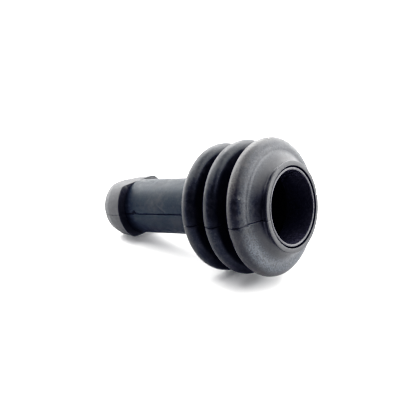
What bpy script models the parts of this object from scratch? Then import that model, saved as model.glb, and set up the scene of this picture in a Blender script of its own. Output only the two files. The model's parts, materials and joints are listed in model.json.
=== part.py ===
"""Ribbed rubber pour spout lying on a bench: a barbed tube, a three-rib bellows, a collar and its liner.

Every piece is turned about one axis. In the assembly's own frame that axis is local Z, station 0 is
the mouth's face and stations grow towards the tip. The assembly empty then tips the whole spout over
until its rear rib and its tip both touch the ground plane, with the mouth looking up along +X.
"""

import math

import bpy
import numpy as np
from mathutils import Matrix

MM = 0.001
SEGMENTS = 40

# Clearance between two pieces that touch or fit each other.
CLEARANCE = 0.3 * MM

# Liner: a thin sleeve that keeps the mouth round.
LINER_BORE_RADIUS = 6.2 * MM
LINER_WALL = 0.5 * MM
LINER_LENGTH = 5.8 * MM
LINER_EDGE = 0.12 * MM

# Collar: a flat rim, a short straight wall behind it, and a cone that flares to the front rib.
RIM_BAND = 0.8 * MM
RIM_EDGE = 0.15 * MM
RIM_WALL_LENGTH = 0.9 * MM
CONE_LENGTH = 1.1 * MM
CONE_RISE = 1.3 * MM

# Bellows: three hollow ribs, from the front one at the collar to the rear one at the tube.
RIB_RADII = (12.0 * MM, 11.9 * MM, 11.65 * MM)
RIB_PITCH = 5.0 * MM
FRONT_FLANK = 0.55 * MM
CREST_ROUNDING = 1.65 * MM
BELLOWS_WALL = 1.1 * MM
INNER_FILLET = 0.4 * MM
REAR_FILLET = 1.2 * MM
FLANK_STEPS = 5
ROOT_STEPS = 3

# Tube and barbed tip. The tip's two lugs are what is left of a round barb between two flats. Its end
# is a little narrower than the tube, and its outlet a little narrower than the tube's bore.
TUBE_RADIUS = 5.53 * MM
TUBE_WALL = 1.15 * MM
TUBE_LENGTH = 19.55 * MM
LUG_HEIGHT = 1.6 * MM
TIP_LENGTH = 6.4 * MM
TIP_END_STEP = 0.13 * MM
TIP_EDGE_ROUNDING = 0.8 * MM
OUTLET_STEP = 0.48 * MM

# Sizes and stations that follow from the ones above.
LINER_RADIUS = LINER_BORE_RADIUS + LINER_WALL
SLEEVE_BORE = LINER_RADIUS + CLEARANCE
RIM_RADIUS = SLEEVE_BORE + RIM_BAND
COLLAR_LENGTH = RIM_WALL_LENGTH + CONE_LENGTH
CONE_RADIUS = RIM_RADIUS + CONE_RISE
ROOT_RADIUS = SLEEVE_BORE + BELLOWS_WALL
ROOT_ROUNDING = RIB_PITCH / 2 - CREST_ROUNDING
CAVITY_ROUNDING = CREST_ROUNDING - BELLOWS_WALL
RIB_STATIONS = tuple(
    COLLAR_LENGTH + FRONT_FLANK + CREST_ROUNDING + RIB_PITCH * number for number in range(3)
)
REAR_END = RIB_STATIONS[2] + CREST_ROUNDING + REAR_FILLET
TUBE_BORE = TUBE_RADIUS - TUBE_WALL
TUBE_START = REAR_END + CLEARANCE
SHOULDER = TUBE_START + TUBE_LENGTH
LUG_RADIUS = TUBE_RADIUS + LUG_HEIGHT
TIP_END = SHOULDER + TIP_LENGTH
TIP_END_RADIUS = TUBE_RADIUS - TIP_END_STEP
OUTLET_RADIUS = TUBE_BORE - OUTLET_STEP

HALF_GAP = CLEARANCE / 2


def clear_scene():
    """Remove every object that the scene holds."""
    for item in list(bpy.data.objects):
        bpy.data.objects.remove(item, do_unlink=True)


def make_material(name, colour, roughness):
    """A Principled material in one plain colour."""
    material = bpy.data.materials.new(name)
    material.use_nodes = True
    shader = material.node_tree.nodes["Principled BSDF"]
    shader.inputs["Base Color"].default_value = (*colour, 1.0)
    shader.inputs["Roughness"].default_value = roughness
    shader.inputs["Metallic"].default_value = 0.0
    return material


def make_empty(name, parent, station):
    """An empty on the turning axis, at the given distance from its parent."""
    empty = bpy.data.objects.new(name, None)
    empty.empty_display_size = 0.01
    empty.location = (0.0, 0.0, station)
    empty.parent = parent
    bpy.context.scene.collection.objects.link(empty)
    return empty


def arc(station, radius, size, start, end, steps):
    """Points of an arc round (station, radius).

    Angles are in degrees: 0 points towards the tip and 90 points away from the axis.
    """
    angles = [math.radians(start + (end - start) * step / steps) for step in range(steps + 1)]
    return [(station + size * math.cos(a), radius + size * math.sin(a)) for a in angles]


def lathe(name, outer, inner, material, parent, parent_station=0.0):
    """One turned piece from its outer and inner outlines, both given from the mouth towards the tip."""
    outline = list(reversed(outer)) + list(inner)
    vertices = [(radius, 0.0, station) for station, radius in outline]
    edges = [(index, (index + 1) % len(vertices)) for index in range(len(vertices))]
    mesh = bpy.data.meshes.new(name)
    mesh.from_pydata(vertices, edges, [])
    mesh.materials.append(material)
    piece = bpy.data.objects.new(name, mesh)
    piece.location = (0.0, 0.0, -parent_station)
    piece.parent = parent
    bpy.context.scene.collection.objects.link(piece)
    turn = piece.modifiers.new("turn", "SCREW")
    turn.axis = "Z"
    turn.angle = math.tau
    turn.steps = SEGMENTS
    turn.render_steps = SEGMENTS
    turn.use_merge_vertices = True
    turn.merge_threshold = 0.00001
    turn.use_smooth_shade = True
    return piece


def build_liner(material, parent, parent_station):
    """The sleeve in the mouth, with both ends broken on their inner and outer edges."""
    outer = [
        (0.0, LINER_RADIUS - LINER_EDGE),
        (LINER_EDGE, LINER_RADIUS),
        (LINER_LENGTH - LINER_EDGE, LINER_RADIUS),
        (LINER_LENGTH, LINER_RADIUS - LINER_EDGE),
    ]
    inner = [
        (0.0, LINER_BORE_RADIUS + LINER_EDGE),
        (LINER_EDGE, LINER_BORE_RADIUS),
        (LINER_LENGTH - LINER_EDGE, LINER_BORE_RADIUS),
        (LINER_LENGTH, LINER_BORE_RADIUS + LINER_EDGE),
    ]
    return lathe("liner_sleeve", outer, inner, material, parent, parent_station)


def build_collar(material, parent, parent_station):
    """The rim's flat band, its straight wall and the flare up to the front rib."""
    back = COLLAR_LENGTH - HALF_GAP
    back_radius = CONE_RADIUS - CONE_RISE * HALF_GAP / CONE_LENGTH
    outer = arc(RIM_EDGE, RIM_RADIUS - RIM_EDGE, RIM_EDGE, 180, 90, 2)
    outer += [(RIM_WALL_LENGTH, RIM_RADIUS), (back, back_radius)]
    inner = [(0.0, SLEEVE_BORE), (back, SLEEVE_BORE)]
    return lathe("collar", outer, inner, material, parent, parent_station)


def crest(station, radius, size):
    """The rounded top of a rib or of the hollow in it, from the mouth side to the tip side."""
    return arc(station, radius - CREST_ROUNDING, size, 180, 0, 2 * FLANK_STEPS)


def mouthward_root(rib, size):
    """Half of the groove on a rib's mouth side, cut off by half the gap to its neighbour."""
    middle = RIB_STATIONS[rib] - RIB_PITCH / 2
    cut = math.degrees(math.acos(HALF_GAP / size))
    return arc(middle, ROOT_RADIUS + ROOT_ROUNDING, size, -cut, 0, ROOT_STEPS)


def tipward_root(rib, size):
    """Half of the groove on a rib's tip side, cut off by half the gap to its neighbour."""
    middle = RIB_STATIONS[rib] + RIB_PITCH / 2
    cut = math.degrees(math.acos(HALF_GAP / size))
    return arc(middle, ROOT_RADIUS + ROOT_ROUNDING, size, 180, 180 + cut, ROOT_STEPS)


def build_front_rib(material, parent, parent_station):
    """The rib that grows out of the collar's flare."""
    start = COLLAR_LENGTH + HALF_GAP
    station, radius = RIB_STATIONS[0], RIB_RADII[0]
    hollow = station - CAVITY_ROUNDING
    outer = [(start, CONE_RADIUS)]
    outer += crest(station, radius, CREST_ROUNDING) + tipward_root(0, ROOT_ROUNDING)
    inner = [(start, SLEEVE_BORE)]
    inner += arc(hollow - INNER_FILLET, SLEEVE_BORE + INNER_FILLET, INNER_FILLET, -90, 0, 2)
    inner += crest(station, radius, CAVITY_ROUNDING) + tipward_root(0, ROOT_ROUNDING + BELLOWS_WALL)
    return lathe("front_rib", outer, inner, material, parent, parent_station)


def build_middle_rib(material, parent, parent_station):
    """The rib between the two others, the same on both sides."""
    station, radius = RIB_STATIONS[1], RIB_RADII[1]
    outer = mouthward_root(1, ROOT_ROUNDING) + crest(station, radius, CREST_ROUNDING)
    outer += tipward_root(1, ROOT_ROUNDING)
    inner = mouthward_root(1, ROOT_ROUNDING + BELLOWS_WALL)
    inner += crest(station, radius, CAVITY_ROUNDING)
    inner += tipward_root(1, ROOT_ROUNDING + BELLOWS_WALL)
    return lathe("middle_rib", outer, inner, material, parent, parent_station)


def build_rear_rib(material, parent):
    """The rib whose tip side closes in to the tube, with a fillet inside and outside."""
    station, radius = RIB_STATIONS[2], RIB_RADII[2]
    hollow = station + CAVITY_ROUNDING
    outer = mouthward_root(2, ROOT_ROUNDING) + crest(station, radius, CREST_ROUNDING)
    outer += arc(REAR_END, TUBE_RADIUS + REAR_FILLET, REAR_FILLET, 180, 270, ROOT_STEPS)
    inner = mouthward_root(2, ROOT_ROUNDING + BELLOWS_WALL)
    inner += crest(station, radius, CAVITY_ROUNDING)
    inner += arc(hollow + INNER_FILLET, TUBE_BORE + INNER_FILLET, INNER_FILLET, 180, 270, 2)
    inner += [(REAR_END, TUBE_BORE)]
    return lathe("rear_rib", outer, inner, material, parent)


def build_tube(material, parent):
    """The plain tube, which ends just short of the tip's shoulder."""
    end = SHOULDER - CLEARANCE
    outer = [(TUBE_START, TUBE_RADIUS), (end, TUBE_RADIUS)]
    inner = [(TUBE_START, TUBE_BORE), (end, TUBE_BORE)]
    return lathe("spout_tube", outer, inner, material, parent)


def flats_cutter(parent):
    """The block that the tip is kept inside of, as tall as the tube and wider than the barb."""
    mesh = bpy.data.meshes.new("tip_flats")
    half_width = LUG_RADIUS * 1.5
    start = SHOULDER - TIP_LENGTH
    end = TIP_END + TIP_LENGTH
    corners = [
        (x, y, z)
        for x in (-TUBE_RADIUS, TUBE_RADIUS)
        for y in (-half_width, half_width)
        for z in (start, end)
    ]
    faces = [(0, 1, 3, 2), (4, 6, 7, 5), (0, 4, 5, 1), (2, 3, 7, 6), (0, 2, 6, 4), (1, 5, 7, 3)]
    mesh.from_pydata(corners, [], faces)
    cutter = bpy.data.objects.new("tip_flats", mesh)
    cutter.hide_render = True
    cutter.display_type = "WIRE"
    cutter.parent = parent
    bpy.context.scene.collection.objects.link(cutter)
    return cutter


def build_tip(material, parent):
    """The rounded nose with its two lugs, the outlet, and the flats above and below."""
    taper = math.atan2(LUG_RADIUS - TIP_END_RADIUS, TIP_LENGTH)
    nose = TIP_END - TIP_EDGE_ROUNDING
    drop = TIP_EDGE_ROUNDING * (1 - math.sin(taper)) / math.cos(taper)
    nose_radius = TIP_END_RADIUS - drop
    start = 90 - math.degrees(taper)
    outer = [(SHOULDER, LUG_RADIUS)]
    outer += arc(nose, nose_radius, TIP_EDGE_ROUNDING, start, 0, 4)
    inner = [(SHOULDER, OUTLET_RADIUS), (TIP_END, OUTLET_RADIUS)]
    tip = lathe("barbed_tip", outer, inner, material, parent)
    cut = tip.modifiers.new("flats", "BOOLEAN")
    cut.operation = "INTERSECT"
    cut.solver = "EXACT"
    cut.object = flats_cutter(parent)
    return tip


def evaluated_points(piece):
    """The piece's points in world space, with its modifiers."""
    graph = bpy.context.evaluated_depsgraph_get()
    evaluated = piece.evaluated_get(graph)
    mesh = evaluated.to_mesh()
    points = np.empty(len(mesh.vertices) * 3)
    mesh.vertices.foreach_get("co", points)
    evaluated.to_mesh_clear()
    matrix = np.array(evaluated.matrix_world)
    return points.reshape(-1, 3) @ matrix[:3, :3].T + matrix[:3, 3]


def resting_tilt(rib_points, tip_points):
    """The angle from the level at which rib and tip both reach the ground, found by halving."""
    low, high = 0.0, math.radians(60)
    for _ in range(40):
        tilt = (low + high) / 2
        down = np.array([-math.cos(tilt), 0.0, math.sin(tilt)])
        if (tip_points @ down).max() < (rib_points @ down).max():
            low = tilt
        else:
            high = tilt
    return (low + high) / 2


def lay_down(assembly, pieces, rib, tip):
    """Tip the assembly over and set its box's bottom centre on the world's origin."""
    tilt = resting_tilt(evaluated_points(rib), evaluated_points(tip))
    assembly.matrix_world = Matrix.Rotation(-(math.pi / 2 + tilt), 4, "Y")
    bpy.context.view_layer.update()
    points = np.concatenate([evaluated_points(piece) for piece in pieces])
    low, high = points.min(axis=0), points.max(axis=0)
    assembly.location = (-(low[0] + high[0]) / 2, -(low[1] + high[1]) / 2, -low[2])


def main():
    """Build the spout's seven pieces and lay the assembly on the ground."""
    clear_scene()
    rubber = make_material("tube_rubber", (0.035, 0.037, 0.040), 0.55)
    rib_rubber = make_material("bellows_rubber", (0.045, 0.043, 0.041), 0.6)
    collar_rubber = make_material("collar_rubber", (0.050, 0.050, 0.050), 0.6)
    tip_rubber = make_material("tip_rubber", (0.060, 0.060, 0.060), 0.6)
    liner_finish = make_material("liner_finish", (0.055, 0.055, 0.055), 0.4)

    assembly = make_empty("assembly", None, 0.0)
    bend_pivot = make_empty("bend_pivot", assembly, RIB_STATIONS[2])
    squeeze_slide = make_empty("squeeze_slide", bend_pivot, -RIB_STATIONS[2])

    tip = build_tip(tip_rubber, assembly)
    tube = build_tube(rubber, assembly)
    rear_rib = build_rear_rib(rib_rubber, assembly)
    middle_rib = build_middle_rib(rib_rubber, bend_pivot, RIB_STATIONS[2])
    front_rib = build_front_rib(rib_rubber, bend_pivot, RIB_STATIONS[2])
    collar = build_collar(collar_rubber, squeeze_slide, 0.0)
    liner = build_liner(liner_finish, squeeze_slide, 0.0)

    bpy.context.view_layer.update()
    lay_down(assembly, [tip, tube, rear_rib, middle_rib, front_rib, collar, liner], rear_rib, tip)
    bpy.context.view_layer.update()


main()
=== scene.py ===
"""Looks of a ribbed rubber pour spout: barbed tip, tube, three-rib bellows, collar and mouth liner.

Every piece is turned about the spout's own axis. Station 0 is the mouth's face and stations grow
towards the tip; angle 0 is the side that faces up, and the two parting lines run along -90 and 90
degrees. Sizes are in millimetres until a point is placed in the frame, which is in metres.
"""

from __future__ import annotations

import json
import logging
import math
from collections.abc import Callable, Sequence
from dataclasses import dataclass, field
from enum import Enum
from typing import Any

import bmesh
import bpy
from mathutils import Matrix, Vector, noise

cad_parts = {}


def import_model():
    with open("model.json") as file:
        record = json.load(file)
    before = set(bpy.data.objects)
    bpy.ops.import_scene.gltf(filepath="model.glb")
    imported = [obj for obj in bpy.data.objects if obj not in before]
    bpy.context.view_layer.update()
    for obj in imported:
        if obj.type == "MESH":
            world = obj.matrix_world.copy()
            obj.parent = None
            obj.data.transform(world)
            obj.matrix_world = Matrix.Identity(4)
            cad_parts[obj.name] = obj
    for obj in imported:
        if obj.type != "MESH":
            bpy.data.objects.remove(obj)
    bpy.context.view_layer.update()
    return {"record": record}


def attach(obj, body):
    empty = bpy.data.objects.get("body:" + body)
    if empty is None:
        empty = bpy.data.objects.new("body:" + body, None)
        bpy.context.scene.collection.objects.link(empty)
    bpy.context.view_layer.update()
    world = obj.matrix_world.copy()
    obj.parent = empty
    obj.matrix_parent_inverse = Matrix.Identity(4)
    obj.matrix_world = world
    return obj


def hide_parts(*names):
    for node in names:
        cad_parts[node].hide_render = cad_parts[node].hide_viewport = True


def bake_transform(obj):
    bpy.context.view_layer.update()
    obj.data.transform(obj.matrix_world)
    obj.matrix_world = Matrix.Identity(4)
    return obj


log = logging.getLogger("spout")

MM = 0.001

Colour = tuple[float, float, float]
Outline = list[tuple[float, float]]
Tones = tuple[tuple[float, float], ...]
Relief = Callable[[float, float, float], float]


class Slot(Enum):
    """The record's material slots."""

    TIP = "tip_rubber"
    TUBE = "tube_rubber"
    BELLOWS = "bellows_rubber"
    COLLAR = "collar_rubber"
    LINER = "liner_finish"


class Body(Enum):
    """The bodies that the joints move."""

    SPOUT = "spout"
    BELLOWS = "bellows"
    MOUTHPIECE = "mouthpiece"


# ---------------------------------------------------------------------------------------------
# The spout's own axis
# ---------------------------------------------------------------------------------------------


@dataclass(frozen=True)
class SpoutAxis:
    """Where the spout lies in the frame: its mouth centre and its own three directions."""

    mouth: Vector
    outward: Vector
    up: Vector
    side: Vector

    @classmethod
    def from_record(cls, record: dict[str, Any]) -> SpoutAxis:
        """Read the axis from the mount on the mouth's face.

        Args:
            record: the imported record.

        Returns:
            The axis, through the middle of the part.
        """
        mount = next(item for item in record["mounts"] if item["name"] == "mouth_face")
        outward = Vector(mount["axis"]).normalized()
        mouth = Vector((mount["pos_m"][0], 0.0, mount["pos_m"][2]))
        side = Vector((0.0, 1.0, 0.0))
        return cls(mouth, outward, side.cross(outward) * -1.0, side)

    def place(self, station: float, across: float, aside: float) -> Vector:
        """The frame's point at a station, a height above the axis and a distance aside, in mm."""
        offset = self.outward * -station + self.up * across + self.side * aside
        return self.mouth + offset * MM

    def at(self, station: float) -> Vector:
        """The point of the axis at a station."""
        return self.place(station, 0.0, 0.0)


# ---------------------------------------------------------------------------------------------
# Outlines
# ---------------------------------------------------------------------------------------------


def arc(station: float, radius: float, size: float, start: float, end: float, steps: int) -> Outline:
    """Points of an arc in the outline's plane.

    Args:
        station: the arc's centre along the axis.
        radius: the arc's centre away from the axis.
        size: the arc's own radius.
        start: first angle in degrees; 0 points towards the tip and 90 away from the axis.
        end: last angle in degrees.
        steps: how many chords the arc has.

    Returns:
        The points, both ends included.
    """
    angles = [math.radians(start + (end - start) * step / steps) for step in range(steps + 1)]
    return [(station + size * math.cos(a), radius + size * math.sin(a)) for a in angles]


def line(start: tuple[float, float], end: tuple[float, float], steps: int) -> Outline:
    """Points strictly between two ends, so that a long face has even quads.

    Args:
        start: station and radius where the run starts.
        end: station and radius where it ends.
        steps: how many chords the run has.

    Returns:
        The points, both ends left out.
    """
    shares = [step / steps for step in range(1, steps)]
    return [
        (start[0] + (end[0] - start[0]) * share, start[1] + (end[1] - start[1]) * share)
        for share in shares
    ]


def rounded(corners: Sequence[tuple[float, float, float]], steps: int = 4) -> Outline:
    """An open chain of straight runs whose inner corners are rounded.

    Args:
        corners: station, radius and rounding of each corner; the first and last stay sharp.
        steps: how many chords each rounding has.

    Returns:
        The chain's points.
    """
    points: Outline = [corners[0][:2]]
    for before, corner, after in zip(corners, corners[1:], corners[2:]):
        here = Vector(corner[:2])
        back = (Vector(before[:2]) - here).normalized()
        ahead = (Vector(after[:2]) - here).normalized()
        half = math.acos(max(-1.0, min(1.0, back.dot(ahead)))) / 2
        reach = corner[2] / math.tan(half)
        middle = here + (back + ahead).normalized() * (corner[2] / math.sin(half))
        first = here + back * reach - middle
        last = here + ahead * reach - middle
        turn = math.atan2(first.x * last.y - first.y * last.x, first.dot(last))
        for step in range(steps + 1):
            spoke = Matrix.Rotation(turn * step / steps, 2) @ first
            points.append(tuple(middle + spoke))
    points.append(corners[-1][:2])
    return points


# ---------------------------------------------------------------------------------------------
# Turned pieces
# ---------------------------------------------------------------------------------------------


@dataclass(frozen=True)
class PartingLine:
    """The thin line that the two mould halves leave along both sides of the moulding."""

    groove_depth: float = 0.21
    groove_width: float = 0.08
    ridge_height: float = 0.02
    ridge_width: float = 0.10
    offset: float = 0.13
    wander: float = 0.11
    depth_change: float = 0.5
    crease: float = 2.45
    crease_reach: float = 0.8
    crease_opening: float = 0.7

    def height(self, station: float, radius: float, angle: float) -> float:
        """How far the line sinks the surface.

        Args:
            station: the surface's place along the axis.
            radius: the surface's distance from the axis.
            angle: the angle round the axis, in degrees.

        Returns:
            The height in mm, never above 0.
        """
        away = min(abs(angle + 90), abs(angle - 90), abs(angle - 270))
        across = math.copysign(math.radians(away), math.cos(math.radians(angle))) * radius
        across += self.wander * noise.noise(Vector((station * 0.7, radius * 0.9, 5.0)))
        change = noise.noise(Vector((station * 1.3, radius, 9.0)))
        depth = self.groove_depth * (1 + self.depth_change * change)
        near_crease = math.exp(-(((station - self.crease) / self.crease_reach) ** 2))
        opened = 1 + self.crease_opening * near_crease
        groove = math.exp(-((across / (self.groove_width * opened)) ** 2))
        ridge = math.exp(-(((across - self.offset) / self.ridge_width) ** 2))
        return self.ridge_height * (ridge - 1) - depth * groove


@dataclass(frozen=True)
class Mark:
    """A small dent, nub or scratch: a short run between two points of the surface."""

    start: tuple[float, float]
    end: tuple[float, float]
    size: float
    height: float

    def lift(self, station: float, radius: float, angle: float) -> float:
        """The mark's height at a point of the surface, in mm.

        Args:
            station: the point's place along the axis.
            radius: its distance from the axis.
            angle: its angle round the axis, in degrees.

        Returns:
            The height, negative for a dent or scratch.
        """
        begin = Vector((self.start[0], math.radians(self.start[1]) * radius))
        run = Vector((self.end[0], math.radians(self.end[1]) * radius)) - begin
        point = Vector((station, math.radians(angle) * radius)) - begin
        share = max(0.0, min(1.0, point.dot(run) / run.length_squared)) if run.length else 0.0
        away = (point - run * share).length / self.size
        return self.height * math.exp(-away * away)


@dataclass(frozen=True)
class Lathe:
    """Turns closed outlines into solid meshes about the spout's axis."""

    axis: SpoutAxis
    even_angles: int = 300
    seam_offsets: tuple[float, ...] = (0.04, 0.08, 0.12, 0.17, 0.23, 0.31, 0.42)
    seam_room: float = 1.2
    sharp_angle: float = 50.0

    def angles(self, radius: float) -> list[float]:
        """Angles round the axis, closer together at the two parting lines.

        Args:
            radius: the piece's largest radius, which turns the offsets into angles.

        Returns:
            The angles in degrees, from -180 up.
        """
        even = [-180 + 360 * step / self.even_angles for step in range(self.even_angles)]
        reach = math.degrees(self.seam_offsets[-1] / radius) * self.seam_room
        kept = [a for a in even if min(abs(a + 90), abs(a - 90)) > reach]
        near = [math.degrees(offset / radius) for offset in self.seam_offsets]
        for seam in (-90.0, 90.0):
            kept += [seam] + [seam + a for a in near] + [seam - a for a in near]
        return sorted(kept)

    def solid(
        self,
        name: str,
        outer: Outline,
        inner: Outline,
        relief: Relief | None = None,
        shape: Callable[[float, float, float], tuple[float, float, float]] | None = None,
    ) -> bpy.types.Object:
        """Turn one closed outline into a piece.

        Args:
            name: the piece's name.
            outer: station and radius of each point of the outside, which the relief is laid on.
            inner: the points that close the section behind it.
            relief: height to add along the surface's normal at a station, radius and angle.
            shape: moves a point given as station, height above the axis and distance aside.

        Returns:
            The piece, placed in the frame.
        """
        outline = outer + inner
        angles = self.angles(max(radius for _, radius in outline))
        normals = outline_normals(outer) + [(0.0, 0.0)] * len(inner)
        mesh = bpy.data.meshes.new(name)
        points: list[Vector] = []
        for (station, radius), normal in zip(outline, normals):
            for angle in angles:
                height = relief(station, radius, angle) if relief else 0.0
                along = station + normal[0] * height
                away = radius + normal[1] * height
                across = away * math.cos(math.radians(angle))
                aside = away * math.sin(math.radians(angle))
                if shape:
                    along, across, aside = shape(along, across, aside)
                points.append(self.axis.place(along, across, aside))
        rows, columns = len(outline), len(angles)
        faces = [
            (
                row * columns + column,
                (row + 1) % rows * columns + column,
                (row + 1) % rows * columns + (column + 1) % columns,
                row * columns + (column + 1) % columns,
            )
            for row in range(rows)
            for column in range(columns)
        ]
        mesh.from_pydata(points, [], faces)
        tidy = bmesh.new()
        tidy.from_mesh(mesh)
        bmesh.ops.recalc_face_normals(tidy, faces=tidy.faces)
        tidy.to_mesh(mesh)
        tidy.free()
        mesh.shade_smooth()
        mesh.set_sharp_from_angle(angle=math.radians(self.sharp_angle))
        piece = bpy.data.objects.new(name, mesh)
        bpy.context.scene.collection.objects.link(piece)
        return piece


def outline_normals(outline: Outline) -> list[tuple[float, float]]:
    """The outward direction at each point of an outline that runs tipwards on its outside.

    Args:
        outline: station and radius of each point.

    Returns:
        A unit direction for each point; the two ends look one way only.
    """
    last = len(outline) - 1
    normals = []
    for index in range(last + 1):
        before = outline[max(0, index - 1)]
        after = outline[min(last, index + 1)]
        run = Vector((after[0] - before[0], after[1] - before[1]))
        run.normalize()
        normals.append((-run.y, run.x))
    return normals


# ---------------------------------------------------------------------------------------------
# Finishes
# ---------------------------------------------------------------------------------------------


@dataclass(frozen=True)
class DustAndHighlightBand:
    """Pale dust or wear in a band round the piece, partly a painted highlight, so there is more
    of it on the low or the high side.

    The band runs from the start station to the end. Its share goes from below, at the height
    low, to above, at the height high. The heights are in mm above the axis.
    """

    start: float
    end: float
    low: float = -4.5
    high: float = -0.5
    below: float = 1.0
    above: float = 0.42
    # Pale colour of the band: dust with a painted highlight in it.
    colour: Colour = (0.115, 0.130, 0.150)
    amount: float = 0.62
    speck_size: float = 0.24
    speck_range: tuple[float, float] = (0.36, 0.66)
    between_specks: float = 0.15


@dataclass(frozen=True)
class Fleck:
    """One pale fleck stuck to the surface, or a bright nick in it."""

    station: float
    radius: float
    angle: float
    size: float = 0.15


class Nodes:
    """A short way to write a material's nodes."""

    def __init__(self, tree: bpy.types.NodeTree, axis: SpoutAxis) -> None:
        """Start from the piece's own coordinates, which stay with it when it moves.

        Args:
            tree: the material's node tree.
            axis: the spout's axis.
        """
        self.tree = tree
        self.axis = axis
        self.place = tree.nodes.new("ShaderNodeTexCoord").outputs["Object"]

    def noise(self, size: float, detail: float, rough: float) -> bpy.types.NodeSocket:
        """A noise whose features are about size mm wide.

        Args:
            size: the width of the features, in mm.
            detail: how many finer layers lie on it.
            rough: how strong the finer layers are.

        Returns:
            The noise, from 0 to 1.
        """
        texture = self.tree.nodes.new("ShaderNodeTexNoise")
        texture.inputs["Scale"].default_value = 1.0 / (size * MM)
        texture.inputs["Detail"].default_value = detail
        texture.inputs["Roughness"].default_value = rough
        self.tree.links.new(self.place, texture.inputs["Vector"])
        return texture.outputs["Fac"]

    def along(self, way: Vector) -> bpy.types.NodeSocket:
        """The distance from the mouth's centre in a direction, in mm.

        Args:
            way: the unit direction.

        Returns:
            The distance.
        """
        shifted = self.tree.nodes.new("ShaderNodeVectorMath")
        shifted.operation = "SUBTRACT"
        shifted.inputs[1].default_value = self.axis.mouth
        self.tree.links.new(self.place, shifted.inputs[0])
        reach = self.tree.nodes.new("ShaderNodeVectorMath")
        reach.operation = "DOT_PRODUCT"
        reach.inputs[1].default_value = way / MM
        self.tree.links.new(shifted.outputs["Vector"], reach.inputs[0])
        return reach.outputs["Value"]

    def near(self, fleck: Fleck) -> bpy.types.NodeSocket:
        """A value that is 1 at a fleck and 0 beyond its edge.

        Args:
            fleck: the fleck.

        Returns:
            The value.
        """
        turn = math.radians(fleck.angle)
        away = self.tree.nodes.new("ShaderNodeVectorMath")
        away.operation = "DISTANCE"
        away.inputs[1].default_value = self.axis.place(
            fleck.station, fleck.radius * math.cos(turn), fleck.radius * math.sin(turn)
        )
        self.tree.links.new(self.place, away.inputs[0])
        return self.ramp(away.outputs["Value"], fleck.size * 0.5 * MM, fleck.size * MM, 1.0, 0.0)

    def rings(self, pitch: float) -> bpy.types.NodeSocket:
        """Fine uneven rings round the axis.

        Args:
            pitch: how far apart they are, in mm.

        Returns:
            The rings' height, from 0 to 1.
        """
        texture = self.tree.nodes.new("ShaderNodeTexNoise")
        texture.noise_dimensions = "1D"
        texture.inputs["Scale"].default_value = 1.0 / pitch
        texture.inputs["Detail"].default_value = 2.0
        self.tree.links.new(self.along(-self.axis.outward), texture.inputs["W"])
        return texture.outputs["Fac"]

    def mixed(
        self, share: float, first: bpy.types.NodeSocket, second: bpy.types.NodeSocket
    ) -> bpy.types.NodeSocket:
        """Two values blended by a fixed share.

        Args:
            share: the second value's share.
            first: one value.
            second: the other value.

        Returns:
            The blend.
        """
        node = self.tree.nodes.new("ShaderNodeMix")
        node.inputs["Factor"].default_value = share
        self.tree.links.new(first, node.inputs["A"])
        self.tree.links.new(second, node.inputs["B"])
        return node.outputs["Result"]

    def ramp(
        self, value: bpy.types.NodeSocket, low: float, high: float, start: float, end: float
    ) -> bpy.types.NodeSocket:
        """A value that runs smoothly from start to end while the input runs from low to high.

        Args:
            value: the input.
            low: the input's value at the start.
            high: the input's value at the end.
            start: the result up to low.
            end: the result from high on.

        Returns:
            The result.
        """
        node = self.tree.nodes.new("ShaderNodeMapRange")
        node.interpolation_type = "SMOOTHSTEP"
        node.inputs["From Min"].default_value = low
        node.inputs["From Max"].default_value = high
        node.inputs["To Min"].default_value = start
        node.inputs["To Max"].default_value = end
        self.tree.links.new(value, node.inputs["Value"])
        return node.outputs["Result"]

    def product(
        self, first: bpy.types.NodeSocket, second: bpy.types.NodeSocket
    ) -> bpy.types.NodeSocket:
        """Two values multiplied.

        Args:
            first: one value.
            second: the other value.

        Returns:
            The product.
        """
        node = self.tree.nodes.new("ShaderNodeMath")
        node.operation = "MULTIPLY"
        self.tree.links.new(first, node.inputs[0])
        self.tree.links.new(second, node.inputs[1])
        return node.outputs["Value"]

    def tinted(
        self, base: bpy.types.NodeSocket | Colour, over: Colour, share: bpy.types.NodeSocket
    ) -> bpy.types.NodeSocket:
        """A colour with another laid over it where share is high.

        Args:
            base: the colour below, plain or from another node.
            over: the colour on top.
            share: how much of the top colour shows.

        Returns:
            The colour.
        """
        node = self.tree.nodes.new("ShaderNodeMixRGB")
        if isinstance(base, bpy.types.NodeSocket):
            self.tree.links.new(base, node.inputs["Color1"])
        else:
            node.inputs["Color1"].default_value = (*base, 1.0)
        node.inputs["Color2"].default_value = (*over, 1.0)
        self.tree.links.new(share, node.inputs["Fac"])
        return node.outputs["Color"]


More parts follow.
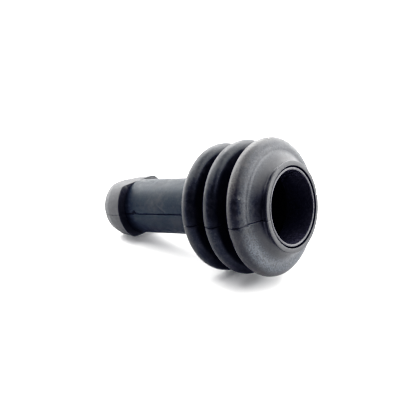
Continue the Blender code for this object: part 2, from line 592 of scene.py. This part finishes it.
@dataclass(frozen=True)
class RubberFinish:
    """Moulded rubber with a fine grain, mottling, a little dust, a few pale specks, and pale bands
    that are partly dust and partly painted highlight.
    """

    name: str
    colour: Colour = (0.006, 0.0064, 0.007)
    dust: Colour = (0.017, 0.0165, 0.016)
    speck: Colour = (0.034, 0.033, 0.032)
    roughness_low: float = 0.34
    roughness_high: float = 0.47
    specular: float = 0.35
    tint: Colour = (1.0, 1.0, 1.0)
    mottle_size: float = 3.0
    mottle_range: tuple[float, float] = (0.42, 0.66)
    patch_share: float = 0.45
    patch_scale: float = 0.22
    patch_range: tuple[float, float] = (0.3, 0.7)
    speck_scale: float = 0.8
    speck_range: tuple[float, float] = (0.55, 0.75)
    speck_share: float = 0.5
    grain_size: float = 0.28
    grain_depth: float = 0.028
    grain_strength: float = 0.8
    ring_pitch: float = 0.5
    ring_share: float = 0.15
    bands: tuple[DustAndHighlightBand, ...] = ()
    flecks: tuple[Fleck, ...] = ()
    fleck_colour: Colour = (0.32, 0.31, 0.29)

    def material(self, axis: SpoutAxis) -> bpy.types.Material:
        """Build the node material.

        Args:
            axis: the spout's axis, which the dust bands run round.

        Returns:
            The material, ready for a piece's first slot.
        """
        material = bpy.data.materials.new(self.name)
        material.use_nodes = True
        shader = material.node_tree.nodes["Principled BSDF"]
        nodes = Nodes(material.node_tree, axis)
        link = material.node_tree.links.new

        patch = nodes.noise(self.mottle_size * self.patch_scale, 4.0, 0.6)
        mottle = nodes.mixed(self.patch_share, nodes.noise(self.mottle_size, 6.0, 0.62), patch)
        grain = nodes.mixed(
            self.ring_share, nodes.noise(self.grain_size, 3.0, 0.6), nodes.rings(self.ring_pitch)
        )
        fine = nodes.noise(self.grain_size * self.speck_scale, 2.0, 0.5)
        dusty = nodes.ramp(mottle, *self.mottle_range, 0.0, 1.0)
        specked = nodes.ramp(fine, *self.speck_range, 0.0, self.speck_share)
        colour = nodes.tinted(self.colour, self.dust, dusty)
        colour = nodes.tinted(colour, self.speck, specked)
        # Pale bands of dust and painted highlight, laid over the rubber's colour.
        for band in self.bands:
            colour = nodes.tinted(colour, band.colour, self.band_share(nodes, band))
        for fleck in self.flecks:
            colour = nodes.tinted(colour, self.fleck_colour, nodes.near(fleck))
        link(colour, shader.inputs["Base Color"])

        rough = nodes.ramp(patch, *self.patch_range, self.roughness_low, self.roughness_high)
        link(rough, shader.inputs["Roughness"])
        bump = material.node_tree.nodes.new("ShaderNodeBump")
        bump.inputs["Strength"].default_value = self.grain_strength
        bump.inputs["Distance"].default_value = self.grain_depth * MM
        link(grain, bump.inputs["Height"])
        link(bump.outputs["Normal"], shader.inputs["Normal"])
        shader.inputs["Specular IOR Level"].default_value = self.specular
        shader.inputs["Specular Tint"].default_value = (*self.tint, 1.0)
        return material

    @staticmethod
    def band_share(nodes: Nodes, band: DustAndHighlightBand) -> bpy.types.NodeSocket:
        """How much of a band's pale colour, partly dust and partly painted highlight, lies at each
        point: speckled, and gone beyond its edges.

        Args:
            nodes: the material that is being written.
            band: the band of dust and painted highlight.

        Returns:
            The band's share of the colour.
        """
        station = nodes.along(-nodes.axis.outward)
        middle = (band.start + band.end) / 2
        into = nodes.ramp(station, band.start, middle, 0.0, band.amount)
        out = nodes.ramp(station, middle, band.end, 1.0, 0.0)
        cloud = nodes.noise(band.speck_size, 4.0, 0.65)
        specks = nodes.ramp(cloud, *band.speck_range, band.between_specks, 1.0)
        # Painted highlight: this share by height above the axis makes the band paler on one side.
        share = nodes.ramp(
            nodes.along(nodes.axis.up), band.low, band.high, band.below, band.above
        )
        return nodes.product(nodes.product(into, out), nodes.product(specks, share))


# ---------------------------------------------------------------------------------------------
# The spout's pieces
# ---------------------------------------------------------------------------------------------


@dataclass(frozen=True)
class Joins:
    """Stations and radii where neighbouring pieces meet, in mm."""

    sleeve_bore: float = 6.93
    collar_length: float = 2.45
    join_radius: float = 9.8
    tube_start: float = 17.2
    tube_radius: float = 5.51
    tube_bore: float = 4.38
    bore_margin: float = 0.2


@dataclass(frozen=True)
class Mouthpiece:
    """The collar and the thin liner in its bore, which move together."""

    lathe: Lathe
    joins: Joins
    seam: PartingLine
    bore_start: float = 0.5
    bore_edge: float = 0.08
    rim_radius: float = 7.78
    rim_edge: float = 0.13
    rim_lip: float = 0.36
    lip_edge: float = 0.10
    undercut: float = 0.10
    undercut_edge: float = 0.06
    wall_radius: float = 7.2
    wall_end: float = 1.3
    wall_edge: float = 0.14
    cone_radius: float = 9.4
    crease_rounding: float = 1.3
    liner_bore: float = 6.23
    liner_outer: float = 6.70
    liner_length: float = 5.8
    liner_sink: float = 0.13
    liner_front_edge: float = 0.18
    liner_back_edge: float = 0.12
    liner_gap: float = 0.1

    def collar(self, finish: RubberFinish) -> bpy.types.Object:
        """Turn the flat rim, the short undercut wall behind it and the flare to the front rib.

        Args:
            finish: the collar's rubber.

        Returns:
            The dressed piece.
        """
        length = self.joins.collar_length
        bore = self.joins.sleeve_bore
        outer = rounded(
            [
                (self.bore_start, bore, 0.0),
                (0.0, bore, self.bore_edge),
                (0.0, self.rim_radius, self.rim_edge),
                (self.rim_lip, self.rim_radius, self.lip_edge),
                (self.rim_lip + self.undercut, self.wall_radius, self.undercut_edge),
                (self.wall_end, self.wall_radius, self.wall_edge),
                (length, self.cone_radius, self.crease_rounding),
                (length, self.joins.join_radius, 0.0),
            ]
        )
        piece = self.lathe.solid("collar_rim", outer, [(length, bore)], self.relief)
        piece.data.materials.append(finish.material(self.lathe.axis))
        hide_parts("collar")
        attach(piece, Body.MOUTHPIECE.value)
        return piece

    def relief(self, station: float, radius: float, angle: float) -> float:
        """The parting line, on the outside only.

        Args:
            station: the surface's place along the axis.
            radius: the surface's distance from the axis.
            angle: the angle round the axis, in degrees.

        Returns:
            The height in mm.
        """
        if radius < self.joins.sleeve_bore + self.joins.bore_margin:
            return 0.0
        return self.seam.height(station, radius, angle)

    def liner(self, finish: RubberFinish) -> bpy.types.Object:
        """Turn the sleeve, with its edges broken.

        Args:
            finish: the liner's rubber, which is smoother.

        Returns:
            The dressed piece.
        """
        middle = self.liner_length / 2
        outline = rounded(
            [
                (middle, self.liner_bore, 0.0),
                (self.liner_sink, self.liner_bore, self.liner_front_edge),
                (self.liner_sink, self.liner_outer, self.liner_front_edge),
                (self.liner_length, self.liner_outer, self.liner_back_edge),
                (self.liner_length, self.liner_bore, self.liner_back_edge),
                (middle + self.liner_gap, self.liner_bore, 0.0),
            ]
        )
        piece = self.lathe.solid("mouth_liner", outline, [])
        piece.data.materials.append(finish.material(self.lathe.axis))
        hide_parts("liner_sleeve")
        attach(piece, Body.MOUTHPIECE.value)
        return piece


@dataclass(frozen=True)
class Bellows:
    """The three hollow ribs. Neighbours meet at the bottoms of the grooves."""

    lathe: Lathe
    joins: Joins
    seam: PartingLine
    wall: float = 1.1
    rib_stations: tuple[float, float, float] = (4.2, 9.2, 14.2)
    rib_radii: tuple[float, float, float] = (12.0, 11.89, 11.62)
    crest_roundings: tuple[float, float, float] = (1.35, 1.55, 1.62)
    groove_stations: tuple[float, float] = (6.7, 11.7)
    groove_radius: float = 8.1
    groove_rounding: float = 0.85
    tube_fillet: float = 1.25
    tube_stub: float = 0.02
    hollow_corner: float = 0.4
    crest_steps: int = 28
    flank_steps: int = 20
    groove_steps: int = 10
    hollow_steps: int = 8
    corner_steps: int = 4
    unevenness: float = 0.015
    waves: tuple[float, float, float] = (0.35, 0.02, 0.2)
    even_run: float = 0.8
    marks: tuple[Mark, ...] = (
        Mark((2.94, -66.8), (3.15, -66.8), 0.26, 0.14),
        Mark((4.94, -100.7), (4.94, -103.0), 0.26, -0.16),
        Mark((3.41, 4.2), (3.41, 4.2), 0.3, 0.07),
    )

    def crest(self, rib: int, inset: float, steps: int) -> Outline:
        """A rib's rounded top, or the hollow under it when inset by the wall.

        Args:
            rib: which rib, from the front one.
            inset: how far under the outside it lies.
            steps: how many chords it has.

        Returns:
            The points, towards the tip.
        """
        rounding = self.crest_roundings[rib]
        centre = self.rib_radii[rib] - rounding
        return arc(self.rib_stations[rib], centre, rounding - inset, 180, 0, steps)

    def groove(self, number: int, tipward: bool, inset: float) -> Outline:
        """Half of a groove, from or to its lowest point.

        Args:
            number: which groove, from the front one.
            tipward: True for the half that runs down to the lowest point.
            inset: how far under the outside it lies.

        Returns:
            The points, towards the tip.
        """
        start = 180 if tipward else 270
        centre = self.groove_radius + self.groove_rounding
        size = self.groove_rounding + inset
        middle = self.groove_stations[number]
        return arc(middle, centre, size, start, start + 90, self.groove_steps)

    def front_rib(self) -> bpy.types.Object:
        """Turn the rib that grows out of the collar.

        Returns:
            The bare piece.
        """
        start, join = self.joins.collar_length, self.joins.join_radius
        bore = self.joins.sleeve_bore
        depth = self.rib_stations[0] - start
        rise = self.rib_radii[0] - join
        quarter = [
            math.radians(180 - 90 * step / self.flank_steps) for step in range(self.flank_steps)
        ]
        flank = [
            (self.rib_stations[0] + depth * math.cos(a), join + rise * math.sin(a)) for a in quarter
        ]
        tipward_half = self.crest(0, 0.0, self.crest_steps)[self.crest_steps // 2 :]
        outer = flank + tipward_half + self.groove(0, True, 0.0)
        hollow = self.rib_stations[0] - self.crest_roundings[0] + self.wall
        corner = self.hollow_corner
        inner = [(start, bore)]
        inner += arc(hollow - corner, bore + corner, corner, -90, 0, self.corner_steps)
        inner += self.crest(0, self.wall, self.hollow_steps) + self.groove(0, True, self.wall)
        return self.lathe.solid("front_rib_skin", outer, inner[::-1], self.relief)

    def middle_rib(self) -> bpy.types.Object:
        """Turn the rib between the two others.

        Returns:
            The bare piece.
        """
        outer = self.groove(0, False, 0.0) + self.crest(1, 0.0, self.crest_steps)
        outer += self.groove(1, True, 0.0)
        inner = self.groove(0, False, self.wall) + self.crest(1, self.wall, self.hollow_steps)
        inner += self.groove(1, True, self.wall)
        return self.lathe.solid("middle_rib_skin", outer, inner[::-1], self.relief)

    def rear_rib(self) -> bpy.types.Object:
        """Turn the rib that closes in to the tube.

        Returns:
            The bare piece.
        """
        end, radius, bore = self.joins.tube_start, self.joins.tube_radius, self.joins.tube_bore
        fillet, corner = self.tube_fillet, self.hollow_corner
        outer = self.groove(1, False, 0.0) + self.crest(2, 0.0, self.crest_steps)
        outer += arc(end - self.tube_stub, radius + fillet, fillet, 180, 270, self.groove_steps)
        outer += [(end, radius)]
        hollow = self.rib_stations[2] + self.crest_roundings[2] - self.wall
        inner = self.groove(1, False, self.wall) + self.crest(2, self.wall, self.hollow_steps)
        inner += arc(hollow + corner, bore + corner, corner, 180, 270, self.corner_steps)
        inner += [(end, bore)]
        return self.lathe.solid("rear_rib_skin", outer, inner[::-1], self.relief)

    def relief(self, station: float, radius: float, angle: float) -> float:
        """The parting line, a slight unevenness and the odd nub, all on the outside.

        Args:
            station: the surface's place along the axis.
            radius: the surface's distance from the axis.
            angle: the angle round the axis, in degrees.

        Returns:
            The height in mm.
        """
        if radius < self.groove_radius:
            return 0.0
        along, around, outward = self.waves
        place = Vector((station * along, angle * around, radius * outward))
        eased = min(1.0, (station - self.joins.collar_length) / self.even_run)
        uneven = (noise.noise(place) - 1) * self.unevenness * eased
        marks = sum(mark.lift(station, radius, angle) for mark in self.marks)
        return uneven + marks + self.seam.height(station, radius, angle)

    def build(self, front: RubberFinish, rear: RubberFinish) -> list[bpy.types.Object]:
        """Make the three ribs and give them their rubber.

        Args:
            front: the front rib's rubber, with pale bands of dust and painted highlight.
            rear: the two other ribs' rubber.

        Returns:
            The three dressed pieces, from the front one.
        """
        axis = self.lathe.axis
        plain = rear.material(axis)
        materials = (front.material(axis), plain, plain)
        pieces = [self.front_rib(), self.middle_rib(), self.rear_rib()]
        nodes = ("front_rib", "middle_rib", "rear_rib")
        for piece, node, material in zip(pieces, nodes, materials):
            piece.data.materials.append(material)
            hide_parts(node)
        squeezed = axis.at(self.groove_stations[1]), axis.at(self.joins.collar_length)
        for piece in pieces[:2]:
            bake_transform(piece)
        bent = axis.at(self.joins.tube_start), axis.at(self.groove_stations[1])
        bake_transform(pieces[2])
        return pieces


@dataclass(frozen=True)
class Spout:
    """The tube and the barbed tip at its end."""

    lathe: Lathe
    joins: Joins
    seam: PartingLine
    shoulder: float = 36.8
    shoulder_start: float = 0.3
    overlap: float = 0.2
    lug_radius: float = 7.1
    lug_edge: float = 0.14
    nose_length: float = 2.6
    nose_radius: float = 6.45
    nose_rounding: float = 2.5
    end_radius: float = 5.52
    end_rounding: float = 1.15
    tip_end: float = 43.3
    outlet: float = 3.9
    outlet_edge: float = 0.25
    outlet_depth: float = 1.0
    outlet_margin: float = 0.4
    flat: float = 5.46
    upper_flat_edge: float = 0.22
    lower_flat_edge: float = 0.55
    tube_steps: int = 100
    tip_steps: int = 8
    face_margin: float = 0.05
    tip_seam: float = 0.6
    unevenness: float = 0.015
    waves: tuple[float, float, float] = (0.25, 0.02, 3.0)
    even_run: float = 1.5
    marks: tuple[Mark, ...] = (
        Mark((34.25, -86.5), (34.05, -87.2), 0.32, -0.50),
        Mark((27.7, -71.9), (25.6, -85.0), 0.19, -0.09),
        Mark((30.2, -60.0), (29.0, -66.0), 0.20, -0.05),
    )

    def tube(self, finish: RubberFinish) -> bpy.types.Object:
        """Turn the plain tube, which runs a little way into the tip.

        Args:
            finish: the tube's rubber.

        Returns:
            The dressed piece.
        """
        start = (self.joins.tube_start, self.joins.tube_radius)
        end = (self.shoulder + self.overlap, self.joins.tube_radius)
        outer = [start] + line(start, end, self.tube_steps) + [end]
        inner = [(end[0], self.joins.tube_bore), (start[0], self.joins.tube_bore)]
        piece = self.lathe.solid("tube_skin", outer, inner, self.tube_relief)
        piece.data.materials.append(finish.material(self.lathe.axis))
        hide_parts("spout_tube")
        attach(piece, Body.SPOUT.value)
        return piece

    def tube_relief(self, station: float, radius: float, angle: float) -> float:
        """The parting line, a slight unevenness, a small pit and a few light scratches.

        Args:
            station: the surface's place along the axis.
            radius: the surface's distance from the axis.
            angle: the angle round the axis, in degrees.

        Returns:
            The height in mm.
        """
        if radius < self.joins.tube_bore + self.joins.bore_margin:
            return 0.0
        along, around, layer = self.waves
        place = Vector((station * along, angle * around, layer))
        eased = min(1.0, (station - self.joins.tube_start) / self.even_run)
        uneven = (noise.noise(place) - 1) * self.unevenness * eased
        marks = sum(mark.lift(station, radius, angle) for mark in self.marks)
        return uneven + marks + self.seam.height(station, radius, angle)

    def tip(self, finish: RubberFinish) -> bpy.types.Object:
        """Turn the nose with its two lugs, the outlet, and the flats above and below.

        Args:
            finish: the tip's rubber.

        Returns:
            The dressed piece.
        """
        outer = rounded(
            [
                (self.shoulder, self.joins.tube_bore + self.shoulder_start, 0.0),
                (self.shoulder, self.lug_radius, self.lug_edge),
                (self.tip_end - self.nose_length, self.nose_radius, self.nose_rounding),
                (self.tip_end, self.end_radius, self.end_rounding),
                (self.tip_end, self.outlet, self.outlet_edge),
                (self.tip_end - self.outlet_depth, self.outlet, 0.0),
            ],
            self.tip_steps,
        )
        inner = [(self.shoulder + self.overlap, self.outlet)]
        piece = self.lathe.solid("tip_skin", outer, inner, self.tip_relief, self.tip_shape)
        piece.data.materials.append(finish.material(self.lathe.axis))
        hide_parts("barbed_tip")
        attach(piece, Body.SPOUT.value)
        return piece

    def tip_relief(self, station: float, radius: float, angle: float) -> float:
        """The parting line on the nose, not on the shoulder's face.

        Args:
            station: the surface's place along the axis.
            radius: the surface's distance from the axis.
            angle: the angle round the axis, in degrees.

        Returns:
            The height in mm.
        """
        if station < self.shoulder + self.face_margin or radius < self.outlet + self.outlet_margin:
            return 0.0
        return self.tip_seam * self.seam.height(station, radius, angle)

    def tip_shape(
        self, station: float, across: float, aside: float
    ) -> tuple[float, float, float]:
        """Flatten the nose above and below; the flats' edges are rounder below.

        Args:
            station: the point's place along the axis.
            across: its height above the axis.
            aside: its distance aside from the axis.

        Returns:
            The moved point, in the same terms.
        """
        rounding = self.upper_flat_edge if across > 0 else self.lower_flat_edge
        over = abs(across) - self.flat
        eased = self.flat + 0.5 * (over - math.sqrt(over * over + rounding * rounding))
        return station, math.copysign(max(0.0, eased), across), aside


# ---------------------------------------------------------------------------------------------
# The studio
# ---------------------------------------------------------------------------------------------


@dataclass(frozen=True)
class Softbox:
    """One large soft light that looks at the object."""

    name: str
    azimuth: float
    elevation: float
    distance: float
    width: float
    height: float
    watts: float

    def build(self, aim: Vector) -> None:
        """Hang the light.

        Args:
            aim: the point that it looks at.
        """
        data = bpy.data.lights.new(self.name, "AREA")
        data.shape = "RECTANGLE"
        data.size = self.width
        data.size_y = self.height
        data.energy = self.watts
        light = bpy.data.objects.new(self.name, data)
        back = direction(self.azimuth, self.elevation)
        light.matrix_world = looking(aim + back * self.distance, back, 0.0)
        light.visible_camera = False
        bpy.context.scene.collection.objects.link(light)


def direction(azimuth: float, elevation: float) -> Vector:
    """From the object towards a viewer; azimuth 0 looks along +Y, and it grows towards +X."""
    a, e = math.radians(azimuth), math.radians(elevation)
    return Vector((math.sin(a) * math.cos(e), -math.cos(a) * math.cos(e), math.sin(e)))


def looking(place: Vector, back: Vector, roll: float) -> Matrix:
    """The matrix of a camera or light at a place, with its own +Z along back.

    Args:
        place: where it stands.
        back: unit vector from what it looks at.
        roll: turn about the line of sight, in degrees.

    Returns:
        The world matrix.
    """
    level = Vector((0.0, 0.0, 1.0)).cross(back)
    level = level.normalized() if level.length > 1e-6 else Vector((1.0, 0.0, 0.0))
    above = back.cross(level)
    turn = math.radians(roll)
    right = level * math.cos(turn) + above * math.sin(turn)
    up = back.cross(right)
    matrix = Matrix((right, up, back)).transposed().to_4x4()
    matrix.translation = place
    return matrix


@dataclass(frozen=True)
class Studio:
    """Pale floor, soft lights and the camera."""

    aim: Vector = field(default_factory=lambda: Vector((1.918, 0.209, 9.896)) * MM)
    azimuth: float = 40.137
    elevation: float = 21.347
    roll: float = -1.905
    distance: float = 0.11284
    lens: float = 51.745
    sensor_width: float = 36.0
    nearest: float = 0.005
    floor_radius: float = 0.26
    floor_roughness: float = 0.9
    floor_white: float = 0.9
    floor_bounce: float = 0.7
    fill: float = 0.05
    backdrop: float = 3.0
    light_distance: float = 0.6
    light_height: float = 0.30
    contrast: Tones = (
        (0.0, 0.0),
        (0.02, 0.003),
        (0.045, 0.013),
        (0.07, 0.038),
        (0.1, 0.072),
        (0.16, 0.14),
        (0.28, 0.28),
    )
    reds: Tones = ((0.0, 0.0013), (0.01, 0.0095), (0.05, 0.049))
    greens: Tones = ((0.0, 0.0017), (0.01, 0.0102), (0.05, 0.05))
    blues: Tones = (
        (0.0, 0.003),
        (0.009, 0.0165),
        (0.03, 0.04),
        (0.07, 0.08),
        (0.15, 0.158),
        (0.35, 0.36),
    )

    def camera(self) -> None:
        """Set up the camera and make it the scene's own."""
        data = bpy.data.cameras.new("camera")
        data.lens = self.lens
        data.sensor_width = self.sensor_width
        data.clip_start = self.nearest
        camera = bpy.data.objects.new("camera", data)
        back = direction(self.azimuth, self.elevation)
        camera.matrix_world = looking(self.aim + back * self.distance, back, self.roll)
        bpy.context.scene.collection.objects.link(camera)
        bpy.context.scene.camera = camera

    def floor(self) -> None:
        """The plain white floor under the object, which throws a little less light back on it."""
        disc = bmesh.new()
        bmesh.ops.create_circle(disc, cap_ends=True, segments=96, radius=self.floor_radius)
        mesh = bpy.data.meshes.new("floor")
        disc.to_mesh(mesh)
        disc.free()
        material = bpy.data.materials.new("floor_white")
        material.use_nodes = True
        shader = material.node_tree.nodes["Principled BSDF"]
        path = material.node_tree.nodes.new("ShaderNodeLightPath")
        shade = material.node_tree.nodes.new("ShaderNodeMixRGB")
        shade.inputs["Color1"].default_value = (self.floor_bounce,) * 3 + (1.0,)
        shade.inputs["Color2"].default_value = (self.floor_white,) * 3 + (1.0,)
        material.node_tree.links.new(path.outputs["Is Camera Ray"], shade.inputs["Fac"])
        material.node_tree.links.new(shade.outputs["Color"], shader.inputs["Base Color"])
        shader.inputs["Roughness"].default_value = self.floor_roughness
        mesh.materials.append(material)
        floor = bpy.data.objects.new("floor", mesh)
        bpy.context.scene.collection.objects.link(floor)

    def world(self) -> None:
        """An even fill, with a white backdrop."""
        world = bpy.data.worlds.new("studio")
        world.use_nodes = True
        tree = world.node_tree
        fill = tree.nodes["Background"]
        fill.inputs["Color"].default_value = (1.0, 1.0, 1.0, 1.0)
        fill.inputs["Strength"].default_value = self.fill
        backdrop = tree.nodes.new("ShaderNodeBackground")
        backdrop.inputs["Strength"].default_value = self.backdrop
        path = tree.nodes.new("ShaderNodeLightPath")
        mix = tree.nodes.new("ShaderNodeMixShader")
        tree.links.new(path.outputs["Is Camera Ray"], mix.inputs[0])
        tree.links.new(fill.outputs[0], mix.inputs[1])
        tree.links.new(backdrop.outputs[0], mix.inputs[2])
        tree.links.new(mix.outputs[0], tree.nodes["World Output"].inputs["Surface"])
        bpy.context.scene.world = world

    def lights(self) -> None:
        """Soft boxes behind, beside and above the object; the viewer's side stays dim."""
        low = {
            "back_left": (-135, 2.9),
            "left": (-90, 1.2),
            "right": (90, 3.8),
            "back_right": (135, 2.6),
            "back": (180, 1.45),
        }
        high = {
            "back_left": (-135, 2.9),
            "left": (-90, 0.9),
            "front_right": (45, 1.3),
            "right": (90, 1.6),
            "back_right": (135, 3.2),
            "back": (180, 4.1),
        }
        top = {"left": (-76, 2.6), "right": (76, 2.2), "back": (180, 0.5)}
        rings = (("low", 12, 0.46, low), ("high", 42, 0.34, high), ("top", 68, 0.34, top))
        for ring, elevation, width, sides in rings:
            for side, (turn, watts) in sides.items():
                softbox = Softbox(
                    name=f"{ring}_{side}",
                    azimuth=self.azimuth + turn,
                    elevation=elevation,
                    distance=self.light_distance,
                    width=width,
                    height=self.light_height,
                    watts=watts,
                )
                softbox.build(self.aim)

    def build(self) -> None:
        """Set the whole studio up."""
        self.floor()
        self.world()
        self.lights()
        self.camera()
        self.grade()

    def grade(self) -> None:
        """Show plain colours, with deep shadows that lean to blue."""
        settings = bpy.context.scene.view_settings
        settings.view_transform = "Standard"
        settings.use_curve_mapping = True
        mapping = settings.curve_mapping
        tones = (self.reds, self.greens, self.blues, self.contrast)
        for curve, points in zip(mapping.curves, tones):
            curve.points[0].location = points[0]
            for point in points[1:]:
                curve.points.new(*point)
        mapping.update()


def main() -> None:
    """Build the spout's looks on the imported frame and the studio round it."""
    logging.basicConfig(level=logging.INFO, format="%(name)s: %(message)s")
    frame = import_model()
    axis = SpoutAxis.from_record(frame["record"])
    lathe = Lathe(axis)
    joins = Joins()
    seam = PartingLine()

    Studio().build()
    # Pale speckled band in the crease between the collar's flare and the front rib: partly dust,
    # partly a painted highlight along the crease fillet, paler on the low side.
    crease_dust_and_highlight = DustAndHighlightBand(1.8, 3.3)
    # Pale brownish speckled band over the front rib's crest, almost only on the upper side: partly
    # wear, partly a painted highlight on the top.
    crest_wear_and_highlight = DustAndHighlightBand(
        2.8, 6.0, low=1.0, high=8.0, below=0.1, above=1.0, colour=(0.095, 0.090, 0.084), amount=0.6
    )
    tube_rubber = RubberFinish(
        "tube_rubber",
        colour=(0.012, 0.015, 0.018),
        dust=(0.028, 0.029, 0.030),
        roughness_low=0.39,
        roughness_high=0.58,
        specular=0.16,
        tint=(0.82, 0.94, 1.0),
        mottle_size=4.0,
    )
    tip_rubber = RubberFinish(
        "tip_rubber",
        colour=(0.011, 0.0115, 0.012),
        dust=(0.025, 0.025, 0.025),
        roughness_low=0.47,
        roughness_high=0.61,
        specular=0.37,
    )
    rib_rubber = RubberFinish(
        "rib_rubber", dust=(0.020, 0.019, 0.018), specular=0.24, tint=(0.93, 0.97, 1.0)
    )
    front_rubber = RubberFinish(
        "front_rib_rubber",
        dust=(0.024, 0.022, 0.020),
        roughness_high=0.50,
        specular=0.32,
        grain_depth=0.036,
        # These bands paint a highlight on the crest's top and along the crease, over pale dust.
        bands=(crest_wear_and_highlight, crease_dust_and_highlight),
        flecks=(
            Fleck(2.94, 11.2, -66.8, 0.2),
            Fleck(3.15, 11.35, -64.5, 0.13),
            Fleck(4.94, 11.8, -101.0, 0.22),
            Fleck(3.41, 11.72, 4.2, 0.16),
        ),
    )
    # The collar carries the crease band too: dust with a painted highlight along the crease.
    collar_rubber = RubberFinish(
        "collar_rubber", specular=0.42, ring_share=0.5, bands=(crease_dust_and_highlight,)
    )
    liner_rubber = RubberFinish(
        "liner_rubber",
        colour=(0.032, 0.031, 0.034),
        dust=(0.042, 0.040, 0.043),
        roughness_low=0.22,
        roughness_high=0.30,
        specular=0.36,
        grain_depth=0.006,
    )

    mouthpiece = Mouthpiece(lathe, joins, seam)
    spout = Spout(lathe, joins, seam)
    pieces = [
        mouthpiece.collar(collar_rubber),
        mouthpiece.liner(liner_rubber),
        *Bellows(lathe, joins, seam).build(front_rubber, rib_rubber),
        spout.tube(tube_rubber),
        spout.tip(tip_rubber),
    ]
    for piece in pieces:
        log.info("%s has %d faces", piece.name, len(piece.data.polygons))
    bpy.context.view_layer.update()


if __name__ == "__main__":
    main()
